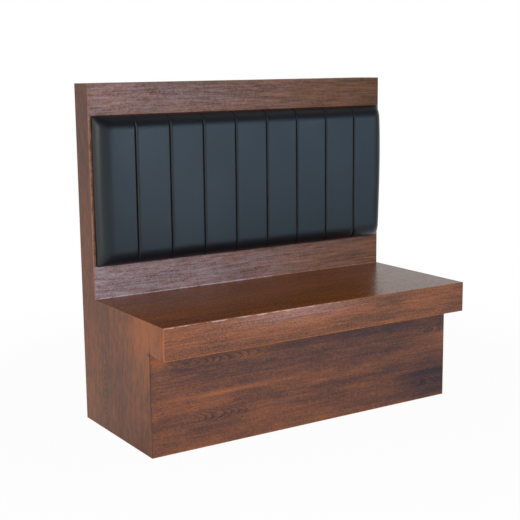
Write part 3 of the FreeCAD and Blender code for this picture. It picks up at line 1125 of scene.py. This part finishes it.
    def _groove(self, x: float, z: float) -> float:
        """How far the sewn seams pull the cover in: a fold to the left, a slope to the right."""
        depth = 0.0
        for number, seam in enumerate(self.seams()):
            away = x - seam - self._stray(number, z)
            left = 1 - max(-away, 0.0) / self.fold_width
            right = 1 - max(away, 0.0) / self.slope_width
            if min(left, right) > 0:
                pull = 1 + self.groove_change * noise.noise(Vector((number * 3.3, z * 24.0, 4.0)))
                shape = left ** self.fold_curve * right ** self.slope_curve
                depth = max(depth, self.seam_depth * pull * shape)
        return depth

    def _stray(self, number: int, z: float) -> float:
        """How far a hand-guided seam wanders from its straight line."""
        return self.stray * noise.noise(Vector((number * 7.1, z * 9.0, 0.0)))

    def _make_foam(self) -> bpy.types.Object:
        """The foam slab, its front drawn in by the cover, with rounded corners and front rim."""
        low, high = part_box("pad_foam")
        maker = bmesh.new()
        bmesh.ops.create_cube(maker, size=1.0)
        bmesh.ops.scale(maker, vec=high - low, verts=maker.verts)
        middle = (low + high) / 2
        bmesh.ops.translate(maker, vec=middle, verts=maker.verts)
        for vertex in maker.verts:
            if vertex.co.y < low.y + MM:
                vertex.co.x -= math.copysign(self.foam_draw, vertex.co.x - middle.x)
                vertex.co.z -= math.copysign(self.foam_draw, vertex.co.z - middle.z)
        corners = [edge for edge in maker.edges
                   if abs(edge.verts[0].co.y - edge.verts[1].co.y) > MM]
        bmesh.ops.bevel(maker, geom=corners, offset=self.foam_corner, offset_type="OFFSET",
                        affect="EDGES", segments=self.foam_segments, profile=0.5, material=-1)
        front = [edge for edge in maker.edges if all(v.co.y < low.y + MM for v in edge.verts)]
        bmesh.ops.bevel(maker, geom=front, offset=self.foam_round, offset_type="OFFSET",
                        affect="EDGES", segments=self.foam_segments, profile=0.5, material=-1)
        return new_piece("back_pad_foam", maker, FOAM.material(), False)

    def _make_thread(self) -> bpy.types.Object:
        """Lock stitches along the bottom of each seam."""
        maker = bmesh.new()
        size = Matrix.Diagonal((1.0, 1.0, self.stitch_length / self.stitch_radius / 2, 1.0))
        margin = self.level_run * self.stitch_margin
        for number in range(self.channels - 1):
            z = self.low_z + margin
            while z < self.high_z - margin:
                here = self._on_seam(number, z)
                ahead = self._on_seam(number, z + self.stitch_length)
                turn = (ahead - here).to_track_quat("Z", "X").to_matrix().to_4x4()
                place = Matrix.Translation((here + ahead) / 2) @ turn @ size
                bmesh.ops.create_icosphere(maker, subdivisions=1, radius=self.stitch_radius,
                                           matrix=place)
                z += self.stitch_pitch
        return new_piece("back_pad_seam_thread", maker, THREAD.material(), True)

    def _on_seam(self, number: int, z: float) -> Vector:
        """The bottom of a seam at one height, found from in front."""
        start = Vector((self.seams()[number] + self._stray(number, z), self.wood_y - 1.0, z))
        return self.surface.ray_cast(start, Vector((0.0, 1.0, 0.0)))[0]

    def dress(self) -> None:
        """Hide the frame's own cover and foam, which the new pieces replace, and finish the pad
        board.
        """
        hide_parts("pad_cover")
        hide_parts("pad_foam")
        dress("pad_board", PLY_PAD.material())
        log.info("back pad: dressed")


@dataclass
class TimberFrame:
    """The hidden frame: studs, plates, battens, cleats, posts and ribs."""

    def build(self) -> None:
        """Sort the frame's timbers by the way their grain runs."""
        nodes = frame["nodes"]
        self.upright = [name for name in nodes if name.startswith("back_stud")]
        self.upright += ["left_corner_post", "right_corner_post"]
        self.level = [name for name in nodes if "noggin" in name or name.endswith("_batten")]
        self.level += ["back_sole_plate", "back_top_plate", "seat_ledger"]
        self.forward = ["left_seat_cleat", "right_seat_cleat"]
        self.ribs = [name for name in nodes if name.startswith("seat_rib")]

    def dress(self) -> None:
        """Give each timber bare softwood along its length, and the ribs bare plywood."""
        pale, dark = (0.56, 0.40, 0.23), (0.36, 0.20, 0.09)
        groups = ((self.upright, Grain.UPRIGHT_FRONT), (self.level, Grain.LEVEL_FRONT),
                  (self.forward, Grain.FORWARD))
        for names, grain in groups:
            material = PlainTimber(f"softwood_{grain.name.lower()}", grain, pale, dark,
                                   6.0 * MM).material()
            for name in names:
                dress(name, material)
        plywood = PLY_RIB.material()
        for name in self.ribs:
            dress(name, plywood)
        log.info("timber frame: dressed")


@dataclass
class Hardware:
    """Screws, bolts, washers and nuts."""

    head_radius: float = 4.0 * MM
    head_height: float = 2.6 * MM
    shank_radius: float = 2.0 * MM
    length: float = 32.0 * MM
    tip: float = 5.0 * MM
    recess_radius: float = 2.2 * MM
    recess_width: float = 0.9 * MM
    recess_depth: float = 1.7 * MM
    margin: float = 60.0 * MM
    rows: int = 4
    studs: int = 5
    stud_turn: float = 0.9
    row_turn: float = 1.3
    sides: int = 32

    def build(self) -> None:
        """Make the screws that show on the rear panel."""
        low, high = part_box("rear_panel")
        screw = self._one_screw()
        maker = bmesh.new()
        step = (high.z - 2 * self.margin) / (self.rows - 1)
        for number in range(1, self.studs + 1):
            stud_low, stud_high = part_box(f"back_stud_{number}")
            for row in range(self.rows):
                place = Vector(((stud_low.x + stud_high.x) / 2, high.y, self.margin + row * step))
                angle = self.stud_turn * number + self.row_turn * row
                turn = Matrix.Rotation(angle, 4, "Y")
                start = len(maker.verts)
                maker.from_mesh(screw)
                maker.verts.ensure_lookup_table()
                bmesh.ops.transform(maker, matrix=Matrix.Translation(place) @ turn,
                                    verts=maker.verts[start:])
        self.screws = new_piece("rear_screws", maker, ZINC.material(), False)

    def _one_screw(self) -> bpy.types.Mesh:
        """A countersunk screw with a crossed recess, its head at the origin and its point to -Y."""
        profile = ((0.0, self.head_radius), (self.head_height, self.shank_radius),
                   (self.length - self.tip, self.shank_radius), (self.length, 0.0))
        maker = bmesh.new()
        points = [maker.verts.new((0.0, 0.0, 0.0))]
        points += [maker.verts.new((radius, -run, 0.0)) for run, radius in profile]
        edges = [maker.edges.new(pair) for pair in zip(points, points[1:])]
        bmesh.ops.spin(maker, geom=points + edges, axis=(0.0, 1.0, 0.0), cent=(0.0, 0.0, 0.0),
                       angle=2 * math.pi, steps=self.sides, use_merge=True)
        bmesh.ops.remove_doubles(maker, verts=maker.verts, dist=0.001 * MM)
        bmesh.ops.recalc_face_normals(maker, faces=maker.faces)
        body = bpy.data.meshes.new("screw_body")
        maker.to_mesh(body)
        maker.free()
        cutter = bmesh.new()
        for turn in (0.0, math.pi / 2):
            made = bmesh.ops.create_cube(cutter, size=1.0)["verts"]
            size = Vector((2 * self.recess_radius, 2 * self.recess_depth, self.recess_width))
            bmesh.ops.scale(cutter, vec=size, verts=made)
            bmesh.ops.rotate(cutter, matrix=Matrix.Rotation(turn, 3, "Y"), verts=made)
        recess = bpy.data.meshes.new("screw_recess")
        cutter.to_mesh(recess)
        cutter.free()
        whole = bpy.data.objects.new("screw_body", body)
        tool = bpy.data.objects.new("screw_recess", recess)
        for item in (whole, tool):
            bpy.context.scene.collection.objects.link(item)
        cut = whole.modifiers.new("recess", "BOOLEAN")
        cut.operation = "DIFFERENCE"
        cut.object = tool
        cut.use_self = True
        ready = whole.evaluated_get(bpy.context.evaluated_depsgraph_get())
        mesh = bpy.data.meshes.new_from_object(ready)
        for item in (whole, tool):
            bpy.data.objects.remove(item)
        return mesh

    def dress(self) -> None:
        """Hide the frame's rear panel screws, which the new screws replace, and finish the hardware
        that stays the frame's own.
        """
        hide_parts("rear_panel_screws")
        zinc = ZINC.material()
        for name in ("pad_screws", "seat_ledger_screws", "seat_cleat_screws",
                     "frame_bolts", "frame_washers", "frame_nuts"):
            dress(name, zinc)
        log.info("hardware: dressed")


COVER = Vinyl("pad_vinyl", (0.0024, 0.0042, 0.0065), (0.0044, 0.0066, 0.0098))
FOAM = CellFoam("pad_foam_cells", (0.78, 0.72, 0.50), (0.70, 0.58, 0.32))
THREAD = Thread("seam_thread", (0.008, 0.009, 0.011))
ZINC = Plating("zinc_plating", (0.62, 0.60, 0.52), (0.42, 0.40, 0.36))
PLY_PAD = PlainTimber("pad_plywood", Grain.LEVEL_FRONT, (0.58, 0.42, 0.25), (0.40, 0.25, 0.12),
                      22.0 * MM, 3.0 * MM, 8.0)
PLY_RIB = PlainTimber("rib_plywood", Grain.UPRIGHT_END, (0.58, 0.42, 0.25), (0.40, 0.25, 0.12),
                      22.0 * MM, 3.0 * MM, 5.0)


# Studio

@dataclass(frozen=True)
class Softbox:
    """A rectangular lamp that faces a point."""

    name: str
    place: Colour
    aim: Colour
    width: float
    height: float
    watts: float
    colour: Colour = (1.0, 1.0, 1.0)
    mirrored: bool = True

    def build(self) -> None:
        """Hang the lamp."""
        lamp = bpy.data.lights.new(self.name, "AREA")
        lamp.shape = "RECTANGLE"
        lamp.size = self.width
        lamp.size_y = self.height
        lamp.energy = self.watts
        lamp.color = self.colour
        item = bpy.data.objects.new(self.name, lamp)
        item.location = self.place
        item.rotation_mode = "QUATERNION"
        item.rotation_quaternion = (Vector(self.aim) - Vector(self.place)).to_track_quat("-Z", "Y")
        item.visible_glossy = self.mirrored
        item.visible_camera = False
        bpy.context.scene.collection.objects.link(item)


@dataclass
class Studio:
    """Floor, surround, lamps and camera."""

    floor_radius: float = 16.0
    floor_white: float = 0.96
    ceiling_shade: float = 0.76
    wall_light: float = 0.65
    front_light: float = 0.30
    ceiling_from: tuple[float, float] = (0.12, 0.62)
    front_fade: tuple[float, float] = (-0.45, 0.25)
    left_fade: tuple[float, float] = (-0.6, -0.2)
    floor_fade: tuple[float, float] = (0.9, 2.2)
    camera_place: Colour = (-2.06672, -3.12473, 1.21664)
    camera_yaw: float = 32.618
    camera_pitch: float = 10.2825
    camera_roll: float = -0.5915
    lens: float = 75.99
    lamps: tuple[Softbox, ...] = (
        Softbox("left_softbox", (-3.4, -1.2, 1.3), (-0.4, 0.0, 0.6), 2.0, 2.0, 42.0),
        Softbox("front_fill", (-1.1, -3.0, 1.5), (-0.1, 0.0, 0.6), 1.6, 1.6, 38.0,
                mirrored=False),
        Softbox("front_sheen", (-1.4, -3.0, 0.9), (-0.4, 0.1, 0.8), 2.2, 1.0, 7.5,
                (0.62, 0.82, 1.0)),
        Softbox("cool_panel", (2.4, -3.4, 0.95), (0.0, 0.1, 0.8), 3.0, 1.0, 37.0,
                (0.48, 0.73, 1.0)),
        Softbox("sheen_strip", (0.65, -2.3, 0.8), (-0.4, 0.2, 0.8), 0.4, 1.2, 7.0,
                (0.62, 0.81, 1.0)),
        Softbox("rim_panel", (1.1, -0.2, 2.7), (0.0, 0.2, 1.0), 1.2, 1.2, 1.5, (1.0, 0.92, 0.84)),
    )

    def build(self) -> None:
        """Set up everything round the bench."""
        self._floor()
        self._surround()
        for lamp in self.lamps:
            lamp.build()
        self._camera()
        bpy.context.scene.view_settings.view_transform = "Standard"
        log.info("studio: %d lamps", len(self.lamps))

    def _floor(self) -> None:
        """A pale floor that keeps the bench's soft shadow and fades to white away from it."""
        maker = bmesh.new()
        bmesh.ops.create_circle(maker, cap_ends=True, segments=96, radius=self.floor_radius)
        mesh = bpy.data.meshes.new("floor")
        maker.to_mesh(mesh)
        maker.free()
        shader, material = Shader.of_material("floor_white")
        x, y, _ = shader.split(shader.place())
        away = (x * x + y * y) ** 0.5
        seen = self._seen(shader)
        lit = shader.node("ShaderNodeBsdfDiffuse", None, {"Color": (0.86, 0.86, 0.86, 1.0)})
        bright = shader.node("ShaderNodeEmission", None, {"Strength": 1.0})
        camera = shader.node("ShaderNodeLightPath", output="Is Camera Ray")
        faded = away.step(*self.floor_fade)
        share = camera * (self.floor_white + (1 - self.floor_white) * faded)
        share = share + (seen - camera) * y.step(-0.6, 0.4)
        shown = shader.node("ShaderNodeMixShader", None, {0: share, 1: lit, 2: bright})
        shader.node_output("ShaderNodeOutputMaterial", shown)
        mesh.materials.append(material)
        floor = bpy.data.objects.new("floor", mesh)
        bpy.context.scene.collection.objects.link(floor)

    @staticmethod
    def _seen(shader: Shader) -> Signal:
        """1 for what the camera sees, also in a mirror or through glass."""
        seen = shader.node("ShaderNodeLightPath", output="Is Camera Ray")
        for ray in ("Is Glossy Ray", "Is Transmission Ray"):
            seen = seen.highest(shader.node("ShaderNodeLightPath", output=ray))
        return seen

    def _surround(self) -> None:
        """White walls to look at, and a darker ceiling, except where it is mirrored to the left."""
        world = bpy.data.worlds.new("surround")
        bpy.context.scene.world = world
        world.use_nodes = True
        shader = Shader(world.node_tree)
        across, depth, rise = shader.split(shader.node("ShaderNodeTexCoord", output="Generated"))
        ceiling = self.ceiling_shade * rise.step(*self.ceiling_from)
        camera = shader.node("ShaderNodeLightPath", output="Is Camera Ray")
        mirrored = self._seen(shader) - camera
        backdrop = self.front_light + (1 - self.front_light) * depth.step(*self.front_fade)
        backdrop = backdrop * (1 - ceiling * across.step(*self.left_fade))
        unseen = 1 - camera - mirrored
        strength = camera + mirrored * backdrop + unseen * (1 - ceiling) * self.wall_light
        shown = shader.node("ShaderNodeBackground", None,
                            {"Color": (1.0, 1.0, 1.0, 1.0), "Strength": strength})
        shader.node_output("ShaderNodeOutputWorld", shown)

    def _camera(self) -> None:
        """The camera, where the photograph was taken from."""
        data = bpy.data.cameras.new("camera")
        data.sensor_width = 36.0
        data.lens = self.lens
        yaw, pitch = math.radians(self.camera_yaw), math.radians(self.camera_pitch)
        forward = Vector((math.sin(yaw) * math.cos(pitch), math.cos(yaw) * math.cos(pitch),
                          -math.sin(pitch)))
        level = Vector((math.cos(yaw), -math.sin(yaw), 0.0))
        turn = Matrix((level, level.cross(forward), -forward)).transposed()
        roll = Matrix.Rotation(math.radians(self.camera_roll), 3, "Z")
        item = bpy.data.objects.new("camera", data)
        item.matrix_world = Matrix.Translation(self.camera_place) @ (turn @ roll).to_4x4()
        bpy.context.scene.collection.objects.link(item)
        bpy.context.scene.camera = item


def main() -> None:
    """Build and dress the bench, then light it."""
    logging.basicConfig(level=logging.INFO, format="%(message)s")
    for part in (VeneeredCase(), BackPad(), TimberFrame(), Hardware()):
        part.build()
        part.dress()
    Studio().build()


if __name__ == "__main__":
    main()
